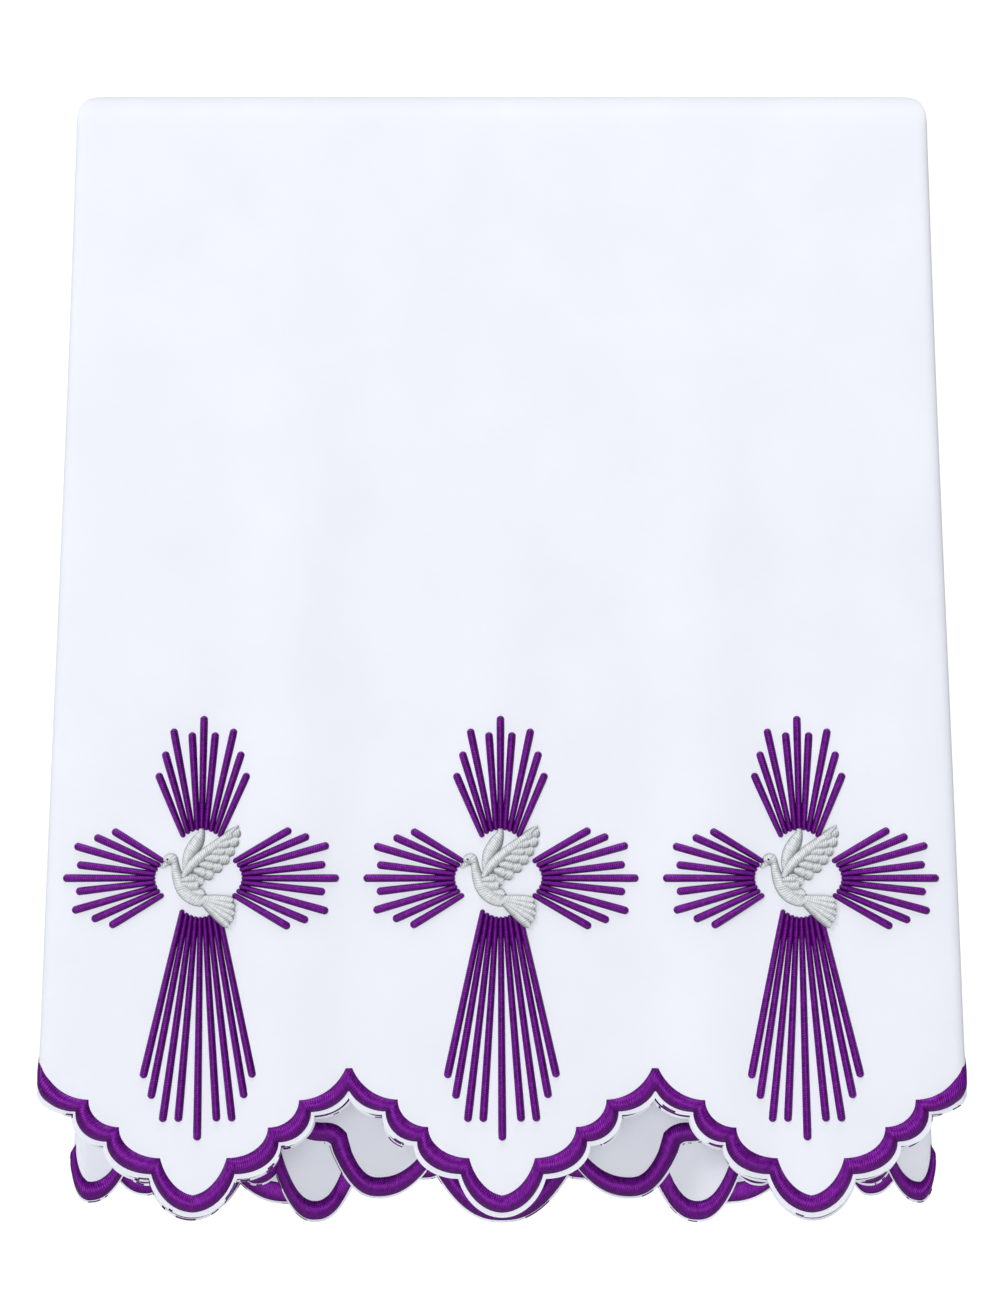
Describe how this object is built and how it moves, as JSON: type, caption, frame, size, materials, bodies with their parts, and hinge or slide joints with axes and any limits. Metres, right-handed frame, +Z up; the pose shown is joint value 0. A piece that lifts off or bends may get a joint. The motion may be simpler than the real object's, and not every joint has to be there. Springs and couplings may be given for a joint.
{
  "type": "altar cloth",
  "caption": "White altar cloth with scalloped hem, sides folded in and hanging over a bar, half in front and half behind.",
  "frame": {"origin": "where the top of the hidden bar touches the innermost layer, on the cloth's middle line", "axes": "+X to the viewer's right along the bar, +Y away from the viewer from the front half to the rear half, +Z up"},
  "size_m": [0.583, 0.0649, 0.7505],
  "materials": {
    "white_cloth": "cool white plain-weave cotton blend, matt, with purple satin-stitched hem and crosses",
    "purple_thread": "deep purple embroidery thread in satin stitch, silky sheen",
    "grey_thread": "pale grey embroidery thread, soft sheen"
  },
  "bodies": {
    "root": {"altar_cloth": "white_cloth"}
  },
  "joints": []
}
